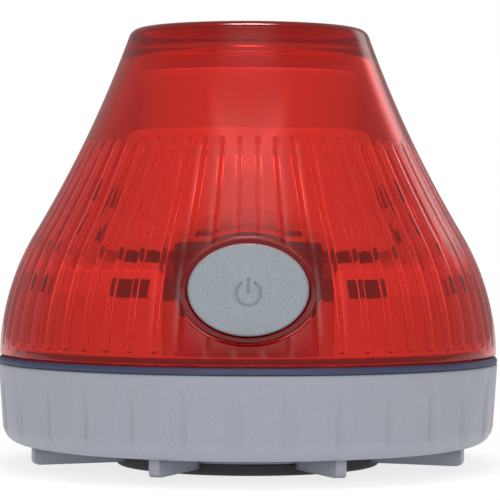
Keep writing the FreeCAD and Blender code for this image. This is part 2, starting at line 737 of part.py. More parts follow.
def led_diffuser():
    """Milky cone over the LEDs, with four cups that stand on the board around the posts."""
    outer = cone_solid(0, CONE_BOTTOM)
    body = outer.cut(cone_solid(CONE_WALL, CONE_BOTTOM - 1))
    foot = DECK_TOP + BOARD_T
    cups = []
    holes = []
    for angle in POST_ANGLES:
        spot = polar(POST_PCR, angle)
        cups.append(disc(WELL_HOLE_R + 1.0, foot, CONE_TOP, spot))
        holes.append(disc(WELL_HOLE_R, foot + 1.5, CONE_TOP + 1, spot))
    envelope = outer.fuse(ring(0.1, CONE_BOTTOM_R + 0.5, foot, CONE_BOTTOM))
    for cup, hole in zip(cups, holes):
        body = body.fuse(cup.common(envelope))
        body = body.cut(hole)
    for angle in POST_ANGLES:
        body = body.cut(disc(POST_R + 0.1, foot - 1, foot + 3, polar(POST_PCR, angle)))
    body = body.cut(disc(TUBE_R + 0.1, CONE_BOTTOM - 1, CONE_TOP + 1))
    body = body.cut(ring(BOARD_R[1], 60, foot - 1, CONE_BOTTOM))
    for side in (-1, 1):
        body = body.cut(disc(LEAD_R + 0.3, CONE_TOP - 10, CONE_TOP + 1, V(side * LEAD_X, LEAD_Y, 0)))
    return body.removeSplitter()


def well_liners():
    """Black rubber sleeves in the cups, cut off flush with the cone."""
    foot = DECK_TOP + BOARD_T + 1.5
    outer = cone_solid(0.3, CONE_BOTTOM)
    below = disc(BOARD_R[1], foot, CONE_BOTTOM)
    sleeves = []
    for angle in POST_ANGLES:
        spot = polar(POST_PCR, angle)
        sleeve = ring(WELL_HOLE_R - LINER_WALL, WELL_HOLE_R, foot, CONE_TOP, spot)
        sleeve = sleeve.fuse(ring(POST_R + 0.1, WELL_HOLE_R, foot, foot + 1.2, spot))
        sleeves.append(sleeve.common(outer.fuse(below)).removeSplitter())
    return Part.makeCompound(sleeves)


def push_nuts():
    """Push-on steel nuts that hold diffuser and board down on the chassis posts."""
    z0 = DECK_TOP + BOARD_T + 1.5 + 1.2
    return Part.makeCompound([ring(POST_R, 2.0, z0, z0 + 0.5, polar(POST_PCR, a))
                              for a in POST_ANGLES])


# ---- button and switch -----------------------------------------------------------------------
SEAL_DEPTH = 2.9
MEMBRANE = 0.8
SEAL_Y = (BLOCK_Y, BLOCK_Y + SEAL_DEPTH)
SEAL_Z = (PANEL_TOP + FIT, 37.6)
SEAL_OVAL = (11.2, 8.75)
SEAL_CORNER = 1.1
FRAME_T = 1.5
FRAME_Y = (SEAL_Y[1], SEAL_Y[1] + FRAME_T)
FRAME_Z = (20.8, 38.0)
FRAME_HOLE = (6.2, 5.2)
CAP_FLANGE = 1.0
FRAME_SCREW_R = 0.9
FRAME_HEAD = (1.35, 0.9)
FRAME_SCREW_SPOTS = ((-10.0, 23.0), (10.0, 23.0))
FRAME_BOSS_R = 1.9
SWITCH_FRONT = -28.0
SWITCH_HALF = 3.1
BOARD_Y = (-24.5, -23.3)
SWITCH_BOARD_HALF = 9.0
SWITCH_BOARD_Z = (23.5, 34.0)
PLUNGER_R = 1.75
PLUNGER_PROUD = 0.38
PLUNGER_STOP = 0.8
STEM_CLEARANCE = 0.3
TIP_REACH = 0.4
BOARD_SCREW_R = 0.8
BOARD_POST_R = 1.7
BOARD_SCREW_SPOTS = ((-7.3, BUTTON_Z), (7.3, BUTTON_Z))


def power_symbol(depth_y):
    """Open ring with a bar, as a cutter that reaches in from the front."""
    front = -BASE_R - 1
    hoop = bar(SYMBOL_R, front, depth_y, 0, SYMBOL_Z)
    hoop = hoop.cut(bar(SYMBOL_R - SYMBOL_LINE, front - 1, depth_y + 1, 0, SYMBOL_Z))
    gap = box((-0.9, 0.9), (front - 1, depth_y + 1), (SYMBOL_Z, SYMBOL_Z + SYMBOL_R + 1))
    stroke = box((-SYMBOL_LINE / 2, SYMBOL_LINE / 2), (front, depth_y),
                 (SYMBOL_Z, SYMBOL_Z + SYMBOL_R + 0.3))
    return hoop.cut(gap).fuse(stroke)


def button_cap():
    """Oval cap, slightly crowned, with a retaining flange and a stem for the switch."""
    half_x, half_z = CAP_HALF
    crown_y = CAP_EDGE_Y - CAP_CROWN
    crown_r = (half_x ** 2 + CAP_CROWN ** 2) / (2 * CAP_CROWN)
    body = oval(half_x, half_z, crown_y - 0.2, BLOCK_Y + 0.1)
    body = body.common(Part.makeSphere(crown_r, V(0, crown_y + crown_r, BUTTON_Z)))
    body = rounded(body, 0.45, lambda e: e.BoundBox.YMax < CAP_EDGE_Y + 1.5
                   and e.BoundBox.XLength > half_x)
    bump_y = crown_y - BUMP_HEIGHT
    bump = Part.makeSphere(BUMP_R, V(0, bump_y + BUMP_R, SYMBOL_Z))
    body = body.fuse(bump.common(bar(BUMP_HALF, crown_y - 1, CAP_EDGE_Y, 0, SYMBOL_Z)))
    body = body.cut(power_symbol(bump_y + SYMBOL_DEPTH))
    flange = oval(half_x + CAP_LIP[0], half_z + CAP_LIP[1], BLOCK_Y + FIT, BLOCK_Y + FIT + CAP_FLANGE)
    stem = bar(STEM_R, BLOCK_Y, SWITCH_FRONT - TRAVEL - STEM_CLEARANCE, 0, BUTTON_Z)
    tip = bar(STEM_TIP_R, BLOCK_Y, SWITCH_FRONT - TIP_REACH, 0, BUTTON_Z)
    return body.multiFuse([flange, stem, tip]).removeSplitter()


def button_seal():
    """Rubber tray behind the dome: oval below, square-shouldered above, lip around the stem."""
    low_half = box((-BLOCK_HALF, BLOCK_HALF), (SEAL_Y[0] - 1, SEAL_Y[1] + 1), (0, BUTTON_Z))
    body = oval(SEAL_OVAL[0], SEAL_OVAL[1], SEAL_Y[0], SEAL_Y[1]).common(low_half)
    behind_collar = oval(CAP_HALF[0] + CAP_GAP + COLLAR_WALL, CAP_HALF[1] + CAP_GAP + COLLAR_WALL,
                         SEAL_Y[0], SEAL_Y[1])
    shoulders = tablet(BLOCK_HALF, SEAL_Z[0], SEAL_Z[1], SEAL_Y[0], SEAL_Y[1], SEAL_CORNER)
    body = body.multiFuse([behind_collar, shoulders])
    body = body.cut(oval(CAP_HALF[0] + CAP_LIP[0] + 0.2, CAP_HALF[1] + CAP_LIP[1] + 0.2,
                         SEAL_Y[0] - 1, SEAL_Y[1] - MEMBRANE))
    return body.cut(bar(STEM_R + FIT, SEAL_Y[0], SEAL_Y[1] + 1, 0, BUTTON_Z)).removeSplitter()


def button_frame():
    """Stiff frame behind the seal with two posts for the switch board."""
    body = tablet(BLOCK_HALF, FRAME_Z[0], FRAME_Z[1], FRAME_Y[0], FRAME_Y[1], SEAL_CORNER)
    body = body.cut(oval(FRAME_HOLE[0], FRAME_HOLE[1], FRAME_Y[0] - 1, FRAME_Y[1] + 1))
    posts = [bar(BOARD_POST_R, FRAME_Y[1] - 0.2, BOARD_Y[0], x, z) for x, z in BOARD_SCREW_SPOTS]
    body = body.multiFuse(posts)
    for x, z in FRAME_SCREW_SPOTS:
        body = body.cut(bar(FRAME_SCREW_R + SCREW_CLEARANCE, FRAME_Y[0] - 1, FRAME_Y[1] + 1, x, z))
    for x, z in BOARD_SCREW_SPOTS:
        body = body.cut(bar(BOARD_SCREW_R, BOARD_Y[0] - 3, BOARD_Y[0] + 1, x, z))
    return body.removeSplitter()


def frame_screws():
    length = FRAME_Y[1] - PANEL_Y[0] - 0.5
    head_r, head_h = FRAME_HEAD
    return Part.makeCompound([screw(head_r, head_h, FRAME_SCREW_R, length, V(x, FRAME_Y[1], z), FORWARD)
                              for x, z in FRAME_SCREW_SPOTS])


def switch_board():
    board = tablet(SWITCH_BOARD_HALF, SWITCH_BOARD_Z[0], SWITCH_BOARD_Z[1], BOARD_Y[0], BOARD_Y[1], 1.0)
    for x, z in BOARD_SCREW_SPOTS:
        board = board.cut(bar(BOARD_SCREW_R + SCREW_CLEARANCE, BOARD_Y[0] - 1, BOARD_Y[1] + 1, x, z))
    return board


def board_screws():
    return Part.makeCompound([screw(1.4, 0.8, BOARD_SCREW_R, 3.4, V(x, BOARD_Y[1], z), FORWARD)
                              for x, z in BOARD_SCREW_SPOTS])


def tact_switch():
    """Switch housing, open in front for its plunger."""
    body = tablet(SWITCH_HALF, BUTTON_Z - SWITCH_HALF, BUTTON_Z + SWITCH_HALF,
                  SWITCH_FRONT, BOARD_Y[0], 0.4)
    return body.cut(bar(PLUNGER_R + FIT, SWITCH_FRONT - 1, BOARD_Y[0] - PLUNGER_STOP, 0, BUTTON_Z))


def switch_plunger():
    back = BOARD_Y[0] - PLUNGER_STOP - TRAVEL - 0.1
    return bar(PLUNGER_R, SWITCH_FRONT - PLUNGER_PROUD, back, 0, BUTTON_Z)


LEAD_R = 0.45
LEAD_X = 5.0
LEAD_Y = 19.0


def battery_leads():
    """Two leads from the top terminals, over the edge of the tube and down to the ring board."""
    leads = []
    over = TUBE_TOP + 0.9
    board = DECK_TOP + BOARD_T
    for side in (-1, 1):
        start = polar(CELL_PITCH_R, 180 - side * 45, TUBE_TOP - TUBE_ROOF)
        x = side * LEAD_X
        points = [start, V(start.x, start.y, over), V(x, LEAD_Y, over), V(x, LEAD_Y, board + 4),
                  V(x, LEAD_Y + 4, board + 2.6), V(x, LEAD_Y + 4, board)]
        leads.append(wire_along(points, LEAD_R, 1.0))
    return Part.makeCompound(leads)


def switch_leads():
    """Two leads that rise behind the switch board and drop onto the ring board."""
    leads = []
    wire_r = 0.4
    over = DECK_TOP + BOARD_T + 1.8
    for side in (-1, 1):
        y = BOARD_Y[1] + wire_r + 0.02
        points = [V(side * 5, y, 30.5), V(side * 5, y, over), V(side * 12.5, -20.8, over),
                  V(side * 12.5, -20.8, DECK_TOP + BOARD_T)]
        leads.append(wire_along(points, wire_r, 0.9))
    return Part.makeCompound(leads)


# ---- write one STEP per piece ------------------------------------------------------------------
NODES = [base_cover, magnet_cup, magnet_disc, magnet_pad, magnet_screws, pivot_bush, pivot_washer,
         pivot_screw, contact_carrier, carrier_plates, contact_springs, dome_lens, dome_seal,
         base_seal, chassis, battery_tube, tube_screws, battery_cells, top_contacts,
         battery_leads, led_board, leds, driver_chips, led_diffuser, well_liners, push_nuts,
         button_cap, button_seal, button_frame, frame_screws, switch_board, board_screws,
         tact_switch, switch_plunger, switch_leads]

os.makedirs("parts", exist_ok=True)
for make in NODES:
    shape = make()
    shape.exportStep(os.path.join("parts", make.__name__ + ".step"))
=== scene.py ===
"""LED safety flare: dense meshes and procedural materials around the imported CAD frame.

Everything is in metres; MM turns the millimetre sizes below into metres.  The front of the lamp
faces -Y, and angles around the axis are measured from the front towards +X.
"""
import json
import math

import bmesh
import bpy
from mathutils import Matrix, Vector


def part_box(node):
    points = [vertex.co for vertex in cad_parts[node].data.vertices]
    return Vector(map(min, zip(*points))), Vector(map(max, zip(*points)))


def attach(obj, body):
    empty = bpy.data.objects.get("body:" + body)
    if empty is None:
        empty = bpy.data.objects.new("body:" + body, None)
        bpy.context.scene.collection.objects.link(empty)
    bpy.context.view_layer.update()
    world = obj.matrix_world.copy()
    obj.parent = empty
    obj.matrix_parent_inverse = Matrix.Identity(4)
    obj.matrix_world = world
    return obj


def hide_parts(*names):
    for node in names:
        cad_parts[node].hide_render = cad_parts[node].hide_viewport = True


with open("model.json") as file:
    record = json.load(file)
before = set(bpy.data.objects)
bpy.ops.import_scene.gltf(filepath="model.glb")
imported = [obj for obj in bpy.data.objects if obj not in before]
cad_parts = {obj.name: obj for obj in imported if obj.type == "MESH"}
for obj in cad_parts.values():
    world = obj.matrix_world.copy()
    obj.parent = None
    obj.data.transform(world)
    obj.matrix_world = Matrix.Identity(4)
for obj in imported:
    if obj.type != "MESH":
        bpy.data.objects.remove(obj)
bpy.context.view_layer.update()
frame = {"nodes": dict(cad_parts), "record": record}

MM = 0.001
nodes = frame["nodes"]

# dome outline: a convex shoulder arc, then a long concave arc, then the rim and the crown
DOME_R = 42.3
DOME_BOTTOM = 19.05
DOME_DRAFT = math.radians(1.54)
SHOULDER_R = 41.8
SHOULDER_SLOPE = math.radians(30.84)
FLANK_R = 195.4
RIM_Z = 74.1
DOME_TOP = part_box("dome_lens")[1][2] / MM
SKIRT = (41.6, 18.75)
RIM_ROUND = 2.0
WALL = 1.9
CEILING = 70.6
CEILING_ROUND = 3.8

# ribs on the dome's inner face, with faint sink marks outside
RIBS = 60
RIB_FIRST = math.radians(3)
RIB_ARC_R = 0.68
RIB_H = 0.65
RIB_BOTTOM = 20.6
RIB_FULL = (21.4, 52.2)
RIB_TOP = 54.6
RIB_POINTS = 6
RIB_POINT_STEP = 14.6
RIB_EDGE = math.radians(RIB_POINTS * RIB_POINT_STEP)
RIB_END_WIDTH = 0.35
SINK = 0.1
SINK_HALF = 0.8

# how finely the dome is meshed
OUTER_COLUMNS = 16 * RIBS
SKIN_STEP = 0.7
CROWN_STEP = 1.2
SKIRT_STEP = 0.6
RIB_START_STEP = 0.12
RIB_STEP = 0.9
PLAIN_STEP = 1.2
CEILING_RINGS = (15, 10, 5, 1)

# button opening, cap and symbol
BUTTON_Z = 30.7
CAP_HALF = (9.45, 7.2)
CAP_GAP = 0.3
COLLAR_WALL = 0.85
COLLAR_Y = -40.9
COLLAR_EDGE_ROUND = 0.3
POCKET_HALF = (11.4, 8.75)
POCKET_Y = -40.2
POCKET_FLOOR_ROUND = 0.35
POCKET_FLOOR_MIDDLE = 0.1
HOLE_CHAMFER = 0.15
PAD_Y = -33.2
PAD_HALF = 11.4
PAD_BOTTOM = 20.4
PAD_FILL = (-60, 90)
RECESS_TOP = 37.7
RECESS_CORNER = 1.1
RECESS_BACK_Y = -24
CAP_EDGE_Y = -40.6
CAP_CROWN = 0.5
CAP_EDGE_ROUND = 0.45
CAP_LIP = (0.85, 0.55)
CAP_FLANGE = (-33.15, -32.15)
STEM = (3.0, -29.1)
STEM_TIP = (1.6, -28.4)
BUMP_R = 5.4
BUMP_HEIGHT = 0.6
BUMP_SOFTNESS = 1.5
SYMBOL_Z = 30.26
SYMBOL_R = 1.88
SYMBOL_LINE = 0.25
SYMBOL_GAP = math.radians(28)
SYMBOL_TOP = 2.3
GROOVE_RISE = 0.06
GROOVE_DEEPER = 1.2
GROOVE_END = 0.6

# base cover
BASE_R = 42.5
BASE_TAPER = 0.95
BASE_UNDER = 3.9
BASE_TOP = 17.6
BASE_ROUND = 3.3
BASE_TOP_ROUND = 0.5
BASE_BORE_R = 39.6
BASE_FLOOR = 6.2
WELL_R = 24.2
WELL_TOP = 9.2
WELL_SLOPE = 1.5
BOSS_R = 22.9
BOSS_BOTTOM = 2.0
CUP_POCKET = (21.0, 7.2)
FLUTES = 30
FLUTE_FIRST = math.radians(-3)
FLUTE_HALF = 1.45
FLUTE_END_WIDTH = 0.4
FLUTE_DEPTH = 0.55
FLUTE_Z = (4.3, 9.0, 16.4)
FINS = 8
FIN_R = 38.4
FIN_T = 1.8
FIN_BOTTOM = 1.05
FIN_ROUND = 0.9
FIN_INTO_FLOOR = 0.3
FIN_INTO_BOSS = 0.4
LEAD = 9.0
STARTS = 3
RIDGE_H = 0.9
RIDGE_ROOT = 1.7
RIDGE_CREST = 1.1
LUG_Z = 11.3
LUG_SWEEP = math.radians(80)
LUG_INTO_WALL = 0.15
MAGNET_SCREW_PCR = 12.0
MAGNET_HOLE = (1.35, 2.7, 8.1)
PIVOT_HOLE_R = 1.25


# ---- mesh helpers ------------------------------------------------------------------------------
SHARP_FROM = math.radians(30)
OVERLAP = 0.1
IN_FRONT_Y = -50


def new_object(name, verts, faces):
    """Object from millimetre points."""
    mesh = bpy.data.meshes.new(name)
    mesh.from_pydata([(x * MM, y * MM, z * MM) for x, y, z in verts], [], faces)
    ob = bpy.data.objects.new(name, mesh)
    bpy.context.scene.collection.objects.link(ob)
    return ob


def stacked_rings(name, rings, low_centre, high_centre):
    """Closed solid through rings of equal point count, fanned to a centre point at both ends."""
    count = len(rings[0])
    verts = [p for ring in rings for p in ring]
    faces = []
    for i in range(len(rings) - 1):
        low, high = i * count, (i + 1) * count
        for j in range(count):
            k = (j + 1) % count
            faces.append((low + j, low + k, high + k, high + j))
    bottom = len(verts)
    verts += [low_centre, high_centre]
    last = (len(rings) - 1) * count
    for j in range(count):
        k = (j + 1) % count
        faces.append((bottom, k, j))
        faces.append((bottom + 1, last + j, last + k))
    ob = new_object(name, verts, faces)
    outward(ob)
    return ob


def outward(ob):
    """Turn all faces outwards."""
    shape = bmesh.new()
    shape.from_mesh(ob.data)
    bmesh.ops.recalc_face_normals(shape, faces=shape.faces)
    shape.to_mesh(ob.data)
    shape.free()


def polar(radius, angle, z):
    """Point at a radius and an angle (radians) from the front towards +X."""
    return (radius * math.sin(angle), -radius * math.cos(angle), z)


def from_nearest(angle, first, count):
    """Angle from the nearest of evenly spaced lines around the axis."""
    pitch = 2 * math.pi / count
    return abs((angle - first + pitch / 2) % pitch - pitch / 2)


def middle_of(ring):
    return tuple(sum(p[k] for p in ring) / len(ring) for k in range(3))


def lathe(name, outline, columns):
    """Solid of revolution from (radius, z) points, both ends closed on the axis."""
    angles = [2 * math.pi * j / columns for j in range(columns)]
    rings = [[polar(r, a, z) for a in angles] for r, z in outline]
    return stacked_rings(name, rings, (0, 0, outline[0][1]), (0, 0, outline[-1][1]))


def block(name, x, y, z):
    """Box from three (low, high) pairs."""
    verts = [(a, b, c) for c in z for b in y for a in x]
    faces = [(0, 1, 3, 2), (4, 6, 7, 5), (0, 4, 5, 1), (2, 3, 7, 6), (0, 2, 6, 4), (1, 5, 7, 3)]
    ob = new_object(name, verts, faces)
    outward(ob)
    return ob


def oval_bar(name, half, rows, count=256):
    """Oval bar along Y, centred on the button, through (offset, y) rows; offsets are square to the oval."""
    rings = []
    for offset, y in rows:
        ring = []
        for j in range(count):
            t = 2 * math.pi * j / count
            nx, nz = half[1] * math.cos(t), half[0] * math.sin(t)
            length = math.hypot(nx, nz)
            ring.append((half[0] * math.cos(t) + offset * nx / length, y,
                         BUTTON_Z + half[1] * math.sin(t) + offset * nz / length))
        rings.append(ring)
    return stacked_rings(name, rings, (0, rows[0][1], BUTTON_Z), (0, rows[-1][1], BUTTON_Z))


def tablet(name, half_x, z, y, corner):
    """Plate across Y with rounded corners."""
    steps = 6
    outline = []
    for sx, sz, start in ((1, 1, 0), (-1, 1, 90), (-1, -1, 180), (1, -1, 270)):
        cx = sx * (half_x - corner)
        cz = (z[1] - corner) if sz > 0 else (z[0] + corner)
        for i in range(steps + 1):
            t = math.radians(start + 90 * i / steps)
            outline.append((cx + corner * math.cos(t), cz + corner * math.sin(t)))
    rings = [[(px, py, pz) for px, pz in outline] for py in y]
    middle = (z[0] + z[1]) / 2
    return stacked_rings(name, rings, (0, y[0], middle), (0, y[1], middle))


def combine(target, tool, operation):
    """Apply one boolean to the target and delete the tool."""
    modifier = target.modifiers.new("cut", "BOOLEAN")
    modifier.solver = "MANIFOLD"
    modifier.operation = operation
    modifier.object = tool
    bpy.context.view_layer.update()
    graph = bpy.context.evaluated_depsgraph_get()
    result = bpy.data.meshes.new_from_object(target.evaluated_get(graph))
    target.modifiers.clear()
    old = target.data
    target.data = result
    bpy.data.meshes.remove(old)
    tool_mesh = tool.data
    bpy.data.objects.remove(tool)
    bpy.data.meshes.remove(tool_mesh)


def stand_for(ob, name, body, node, slot):
    """Finish a piece: smooth it, give it the slot's material, and let it stand for its CAD node."""
    ob.name = name
    smooth(ob)
    ob.data.materials.clear()
    ob.data.materials.append(MATERIALS[slot])
    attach(ob, body)
    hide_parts(node)


def smooth(ob):
    """Smooth shading that keeps the edges above SHARP_FROM sharp."""
    ob.data.polygons.foreach_set("use_smooth", [True] * len(ob.data.polygons))
    ob.data.set_sharp_from_angle(angle=SHARP_FROM)
    ob.data.update()


def spread(low, high, step):
    """Evenly spaced values from low to high, no further apart than step."""
    count = max(1, math.ceil((high - low) / step))
    return [low + (high - low) * i / count for i in range(count + 1)]


def corner_arc(before, corner, after, radius, steps):
    """Points of the arc that rounds an outline's corner, whose sides are straight near it."""
    b = (Vector(before) - Vector(corner)).normalized()
    a = (Vector(after) - Vector(corner)).normalized()
    half = b.angle(a) / 2
    centre = Vector(corner) + (a + b).normalized() * (radius / math.sin(half))
    start = Vector(corner) + b * (radius / math.tan(half)) - centre
    end = Vector(corner) + a * (radius / math.tan(half)) - centre
    sweep = start.angle(end)
    points = []
    for i in range(steps + 1):
        t = i / steps
        p = (start * math.sin((1 - t) * sweep) + end * math.sin(t * sweep)) / math.sin(sweep)
        points.append(tuple(centre + p))
    return points


# ---- dome --------------------------------------------------------------------------------------
SHOULDER_C = (DOME_R - SHOULDER_R * math.cos(DOME_DRAFT),
              DOME_BOTTOM - SHOULDER_R * math.sin(DOME_DRAFT))
FLANK_C = (SHOULDER_C[0] + (SHOULDER_R + FLANK_R) * math.cos(SHOULDER_SLOPE),
           SHOULDER_C[1] + (SHOULDER_R + FLANK_R) * math.sin(SHOULDER_SLOPE))


def skin(z, depth=0.0):
    """Radius and slope of the dome at a height, at a depth below the outer skin."""
    reach = SHOULDER_R - depth
    if z < SHOULDER_C[1] + reach * math.sin(SHOULDER_SLOPE):
        a = math.asin((z - SHOULDER_C[1]) / reach)
        return SHOULDER_C[0] + reach * math.cos(a), a
    a = math.asin((FLANK_C[1] - z) / (FLANK_R + depth))
    return FLANK_C[0] - (FLANK_R + depth) * math.cos(a), a


def dome_outside():
    """Solid inside the outer skin: skirt, shoulder, flank, rounded rim and slightly crowned top."""
    rim = (skin(RIM_Z)[0], RIM_Z)
    crown_rise = DOME_TOP - RIM_Z

    def crown(r):
        return (r, RIM_Z + crown_rise * (1 - (r / rim[0]) ** 2))

    rounding = corner_arc((skin(RIM_Z - 1)[0], RIM_Z - 1), rim, crown(rim[0] - 1), RIM_ROUND, 12)
    wall = [(skin(z)[0], z) for z in spread(DOME_BOTTOM, rounding[0][1], SKIN_STEP)]
    top = [crown(-r) for r in spread(-rounding[-1][0], -0.5, CROWN_STEP)]
    outline = [SKIRT] + wall + rounding[1:] + top[1:]
    angles = [2 * math.pi * j / OUTER_COLUMNS for j in range(OUTER_COLUMNS)]
    rings = [[polar(r - sink_mark(r, a, z), a, z) for a in angles] for r, z in outline]
    return stacked_rings("dome_outside", rings, (0, 0, outline[0][1]), (0, 0, outline[-1][1]))


def sink_mark(r, angle, z):
    """Depth of the faint hollow that moulding leaves in the outer skin behind each rib."""
    if not RIB_BOTTOM < z < RIB_TOP:
        return 0.0
    t = from_nearest(angle, RIB_FIRST, RIBS) * r / SINK_HALF
    if t >= 1:
        return 0.0
    return SINK * rib_height(z) * (0.5 + 0.5 * math.cos(math.pi * t))


def rib_height(z):
    """Share of the full rib height: a short round lead-in and a long round run-out."""
    if z < RIB_FULL[0]:
        t = (RIB_FULL[0] - z) / (RIB_FULL[0] - RIB_BOTTOM)
    elif z > RIB_FULL[1]:
        t = (z - RIB_FULL[1]) / (RIB_TOP - RIB_FULL[1])
    else:
        return 1.0
    return math.sqrt(max(0.0, 1 - t * t))


def ribbed_ring(z):
    """Ring of points on the dome's inner face, with a round rib every few degrees."""
    wall_r, slope = skin(z, WALL)
    share = rib_height(z)
    base = math.sqrt(RIB_ARC_R ** 2 - (RIB_ARC_R - RIB_H) ** 2)
    pitch = 2 * math.pi / RIBS
    ring = []
    for k in range(RIBS):
        middle = RIB_FIRST + k * pitch
        width = base * (RIB_END_WIDTH + (1 - RIB_END_WIDTH) * share)
        for i in range(-RIB_POINTS, RIB_POINTS + 1):
            phi = math.radians(RIB_POINT_STEP * i)
            across = width * math.sin(phi) / math.sin(RIB_EDGE)
            height = max(0.0, RIB_ARC_R * math.cos(phi) - (RIB_ARC_R - RIB_H)) * share
            ring.append(polar(wall_r - height * math.cos(slope), middle + across / wall_r,
                              z - height * math.sin(slope)))
        gap = pitch - 2 * width / wall_r
        for i in range(1, 4):
            ring.append(polar(wall_r, middle + width / wall_r + gap * i / 4, z))
    return ring


def dome_inside():
    """Solid that fills the dome: the ribbed wall, the ceiling round and the flat ceiling."""
    ceiling_r = skin(CEILING, WALL)[0]
    rounding = corner_arc((skin(CEILING - 1, WALL)[0], CEILING - 1), (ceiling_r, CEILING), (0, CEILING),
                          CEILING_ROUND, 14)
    heights = spread(SKIRT[1] - 0.5, RIB_BOTTOM, SKIRT_STEP)
    heights += spread(RIB_BOTTOM, RIB_FULL[0], RIB_START_STEP)[1:]
    heights += spread(RIB_FULL[0], RIB_FULL[1], RIB_STEP)[1:]
    run_out = RIB_TOP - RIB_FULL[1]
    heights += [RIB_FULL[1] + run_out * math.sin(math.radians(a)) for a in range(10, 91, 10)]
    heights += spread(RIB_TOP, rounding[0][1], PLAIN_STEP)[1:]
    rings = [ribbed_ring(z) for z in heights]
    angles = [math.atan2(x, -y) for x, y, z in rings[-1]]
    rings += [[polar(r, a, z) for a in angles] for r, z in rounding[1:]]
    rings += [[polar(r, a, CEILING) for a in angles] for r in CEILING_RINGS]
    return stacked_rings("dome_inside", rings, (0, 0, heights[0]), (0, 0, CEILING))


def dome():
    """Clear dome with its ribs, the flat block behind the button, the seal pocket and the oval collar."""
    outside = dome_outside()
    cavity = dome_inside()
    pad = block("pad", (-PAD_HALF, PAD_HALF), (PAD_FILL[0], PAD_Y), (PAD_BOTTOM, PAD_FILL[1]))
    combine(cavity, pad, "DIFFERENCE")
    recess = tablet("recess", PAD_HALF + OVERLAP, (PAD_BOTTOM, RECESS_TOP), (PAD_Y, RECESS_BACK_Y),
                    RECESS_CORNER)
    combine(cavity, recess, "UNION")
    combine(outside, cavity, "DIFFERENCE")
    pocket = oval_bar("pocket", POCKET_HALF, [(-POCKET_FLOOR_ROUND, POCKET_Y),
                                              (-POCKET_FLOOR_MIDDLE, POCKET_Y - POCKET_FLOOR_MIDDLE),
                                              (0, POCKET_Y - POCKET_FLOOR_ROUND), (0, IN_FRONT_Y)])
    combine(outside, pocket, "DIFFERENCE")
    hole_half = tuple(h + CAP_GAP for h in CAP_HALF)
    edge = COLLAR_EDGE_ROUND
    arc = [(COLLAR_WALL - edge + edge * math.sin(math.radians(a)),
            COLLAR_Y + edge - edge * math.cos(math.radians(a))) for a in (90, 60, 30, 0)]
    collar = oval_bar("collar", hole_half, [(COLLAR_WALL, PAD_Y - 1)] + arc)
    combine(outside, collar, "UNION")
    hole = oval_bar("hole", hole_half, [(0, PAD_Y + 2), (0, COLLAR_Y + HOLE_CHAMFER),
                                        (HOLE_CHAMFER, COLLAR_Y), (HOLE_CHAMFER, IN_FRONT_Y)])
    combine(outside, hole, "DIFFERENCE")
    stand_for(outside, "dome", "head", "dome_lens", "red_lens")


# ---- base cover --------------------------------------------------------------------------------
def base_wall_r(z):
    """Radius of the base's slightly tapered wall at a height."""
    return BASE_R - BASE_TAPER * (BASE_TOP - z) / (BASE_TOP - BASE_UNDER)


def flute(r, angle, z):
    """Depth of the soft grip groove: pointed at the top, wide low down, fading into the bottom round."""
    low, widest, high = FLUTE_Z
    if not low < z < high or r < BASE_BORE_R:
        return 0.0
    t = (z - widest) / (high - widest) if z > widest else (widest - z) / (widest - low)
    share = 1 - t * t
    half = FLUTE_HALF * (FLUTE_END_WIDTH + (1 - FLUTE_END_WIDTH) * math.sqrt(share))
    across = from_nearest(angle, FLUTE_FIRST, FLUTES) * r / half
    if across >= 1:
        return 0.0
    return FLUTE_DEPTH * share * (1 - across ** 2)


def base_skin():
    """Solid inside the base's outer face, with the flutes pressed in."""
    low_r = BASE_R - BASE_TAPER
    bottom = corner_arc((low_r - 1, BASE_UNDER), (low_r, BASE_UNDER),
                        (base_wall_r(BASE_UNDER + 1), BASE_UNDER + 1), BASE_ROUND, 14)
    top = corner_arc((base_wall_r(BASE_TOP - 1), BASE_TOP - 1), (BASE_R, BASE_TOP),
                     (BASE_R - 1, BASE_TOP), BASE_TOP_ROUND, 6)
    wall = [(base_wall_r(z), z) for z in spread(bottom[-1][1], top[0][1], 0.3)][1:-1]
    outline = [(BOSS_R, BOSS_BOTTOM), (BOSS_R, BASE_UNDER), (30, BASE_UNDER)] + bottom + wall + top
    outline += [(BASE_BORE_R - 1, BASE_TOP)]
    columns = 32 * FLUTES
    angles = [2 * math.pi * j / columns for j in range(columns)]
    rings = [[polar(r - flute(r, a, z), a, z) for a in angles] for r, z in outline]
    return stacked_rings("base_skin", rings, (0, 0, BOSS_BOTTOM), (0, 0, BASE_TOP))


def fin(angle):
    """Flat foot fin under the base with a rounded lower outer corner."""
    high = BASE_UNDER + FIN_INTO_FLOOR
    corner = [(FIN_R - FIN_ROUND * (1 - math.cos(math.radians(a))),
               FIN_BOTTOM + FIN_ROUND * (1 - math.sin(math.radians(a)))) for a in range(0, 91, 18)]
    inner_r = BOSS_R - FIN_INTO_BOSS
    side = [(FIN_R, high)] + corner + [(inner_r, FIN_BOTTOM), (inner_r, high)]
    rings = []
    for x in (-FIN_T / 2, FIN_T / 2):
        rings.append([(x * math.cos(angle) + r * math.sin(angle),
                       x * math.sin(angle) - r * math.cos(angle), z) for r, z in side])
    middle = (side[0][0] + side[-1][0]) / 2
    ends = [((x * math.cos(angle) + middle * math.sin(angle)),
             (x * math.sin(angle) - middle * math.cos(angle)), (high + FIN_BOTTOM) / 2)
            for x in (-FIN_T / 2, FIN_T / 2)]
    return stacked_rings("fin", rings, ends[0], ends[1])


